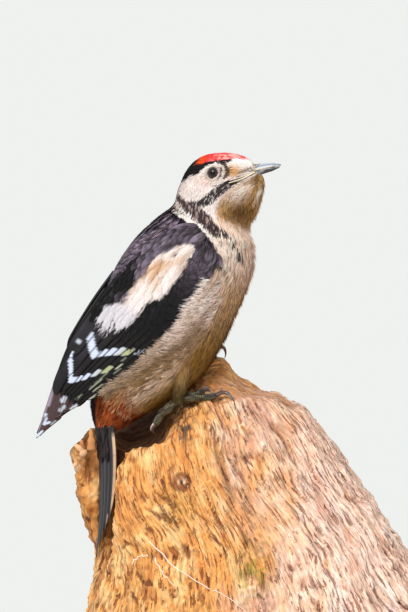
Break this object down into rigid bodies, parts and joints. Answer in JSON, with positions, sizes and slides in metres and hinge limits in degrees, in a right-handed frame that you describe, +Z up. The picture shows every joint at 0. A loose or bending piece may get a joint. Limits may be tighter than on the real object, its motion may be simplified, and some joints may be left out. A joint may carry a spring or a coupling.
{
  "type": "woodpecker model",
  "caption": "Life-size museum model of a young great spotted woodpecker clinging upright to the broken top of an old conifer stump, on a plain display stand.",
  "frame": {"origin": "centre of the stand base's underside", "axes": "+Z up, +X to the right of the view the bird is seen in, with the bird facing +X, and -Y towards the viewer"},
  "size_m": [0.2088, 0.1192, 0.2733],
  "materials": {
    "pale_feather": "soft pale face and throat feathers with a red crown and black marks",
    "buff_feather": "soft buff and grey body feathers, red under the tail",
    "black_feather": "glossy black flight feathers with white spots",
    "bill_horn": "smooth grey horn",
    "eye": "dark wet eye",
    "leg_scale": "grey-olive scaled skin",
    "claw_horn": "smooth dark horn with a pale ridge",
    "weathered_wood": "weathered, cracked and splintered bare conifer wood",
    "stand_wood": "dark satin varnish",
    "stand_steel": "brushed"
  },
  "bodies": {
    "root": {"head": "pale_feather", "neck": "pale_feather", "trunk": "buff_feather", "thigh_right": "buff_feather", "thigh_left": "buff_feather", "wing_right": "black_feather", "wing_left": "black_feather", "tail": "black_feather", "bill_upper": "bill_horn", "bill_lower": "bill_horn", "eye_right": "eye", "eye_left": "eye", "tarsus_right": "leg_scale", "tarsus_left": "leg_scale", "toe_right_outer_front": "leg_scale", "toe_right_inner_front": "leg_scale", "toe_right_outer_back": "leg_scale", "toe_right_hallux": "leg_scale", "toe_left_outer_front": "leg_scale", "toe_left_inner_front": "leg_scale", "toe_left_outer_back": "leg_scale", "toe_left_hallux": "leg_scale", "claw_right_outer_front": "claw_horn", "claw_right_inner_front": "claw_horn", "claw_right_outer_back": "claw_horn", "claw_right_hallux": "claw_horn", "claw_left_outer_front": "claw_horn", "claw_left_inner_front": "claw_horn", "claw_left_outer_back": "claw_horn", "claw_left_hallux": "claw_horn", "perch": "weathered_wood", "stand_rod_left": "stand_steel", "stand_rod_right": "stand_steel", "stand_base": "stand_wood"}
  },
  "joints": []
}
